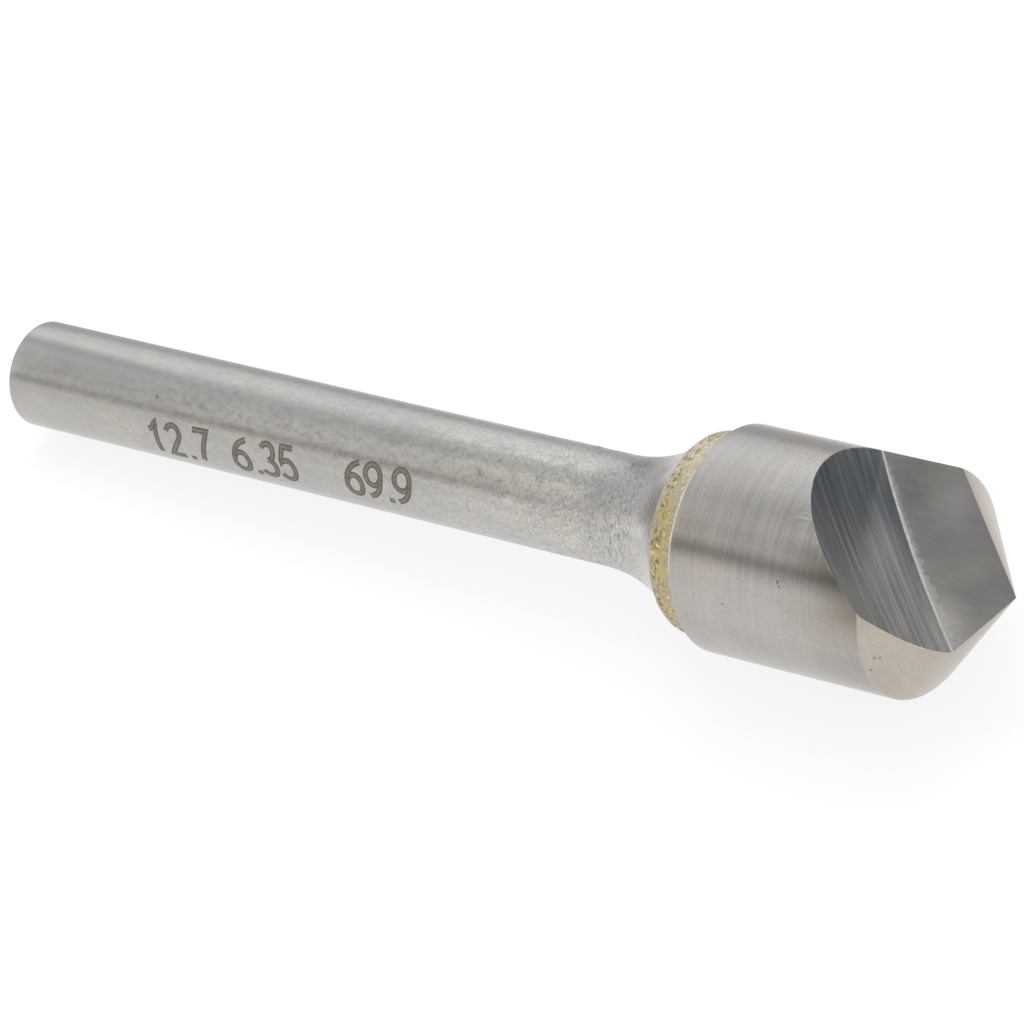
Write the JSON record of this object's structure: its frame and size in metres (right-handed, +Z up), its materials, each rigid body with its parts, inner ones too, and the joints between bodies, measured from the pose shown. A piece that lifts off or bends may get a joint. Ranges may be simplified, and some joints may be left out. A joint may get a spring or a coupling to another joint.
{
  "type": "countersink bit",
  "caption": "Countersink bit with a straight turned steel shank, a flared neck, a braze joint and a ground carbide cutting head with a scooped flute, lying as it rests.",
  "frame": {"origin": "on the floor, under the middle of the bit's own box as it lies", "axes": "+X along the bit's length from the shank's end towards the point, +Y across it, +Z up. The bit's own axis climbs 3.52 degrees along +X, because it rests on the shank's end and on the rear rim of the wider head."},
  "size_m": [0.0696, 0.0126, 0.0131],
  "materials": {
    "shank_steel": "satin",
    "braze_alloy": "matte",
    "carbide": "satin"
  },
  "bodies": {
    "root": {"shank": "shank_steel", "braze_joint": "braze_alloy", "cutting_head": "carbide"}
  },
  "joints": []
}
